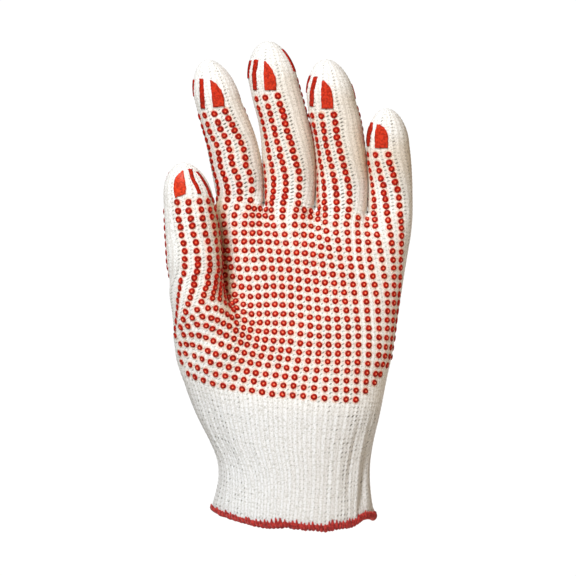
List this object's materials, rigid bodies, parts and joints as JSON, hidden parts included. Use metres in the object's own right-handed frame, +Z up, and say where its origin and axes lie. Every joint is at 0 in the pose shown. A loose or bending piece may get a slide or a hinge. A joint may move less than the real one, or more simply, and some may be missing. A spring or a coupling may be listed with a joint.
{
  "type": "dotted knit work glove",
  "caption": "Seamless knit work glove for the left hand, open at a ribbed cuff with an overlocked hem, with a raised dotted grip print on palm, back and fingertips.",
  "frame": {"origin": "centre of the wrist opening, level with the lowest part of the cuff", "axes": "+Z up along the hand to the fingertips, palm towards -Y, thumb towards -X"},
  "size_m": [0.1245, 0.0659, 0.2444],
  "materials": {
    "knit": "off-white cotton yarn, plain knit, matt",
    "rib_knit": "off-white cotton yarn with elastic, ribbed, matt",
    "hem_thread": "crimson overlock thread, matt",
    "grip_print": "red printed vinyl, raised and glossy"
  },
  "bodies": {
    "root": {"thumb": "knit", "index_finger": "knit", "middle_finger": "knit", "ring_finger": "knit", "little_finger": "knit", "palm": "knit", "rib_cuff": "rib_knit", "hem_binding": "hem_thread", "thumb_pad": "grip_print", "thumb_bar": "grip_print", "thumb_edge_bar": "grip_print", "thumb_back_pad": "grip_print", "thumb_back_bar": "grip_print", "thumb_back_edge_bar": "grip_print", "index_pad": "grip_print", "index_bar": "grip_print", "index_edge_bar": "grip_print", "index_back_pad": "grip_print", "index_back_bar": "grip_print", "index_back_edge_bar": "grip_print", "middle_pad": "grip_print", "middle_bar": "grip_print", "middle_edge_bar": "grip_print", "middle_back_pad": "grip_print", "middle_back_bar": "grip_print", "middle_back_edge_bar": "grip_print", "ring_pad": "grip_print", "ring_bar": "grip_print", "ring_edge_bar": "grip_print", "ring_back_pad": "grip_print", "ring_back_bar": "grip_print", "ring_back_edge_bar": "grip_print", "little_pad": "grip_print", "little_bar": "grip_print", "little_edge_bar": "grip_print", "little_back_pad": "grip_print", "little_back_bar": "grip_print", "little_back_edge_bar": "grip_print"}
  },
  "joints": []
}
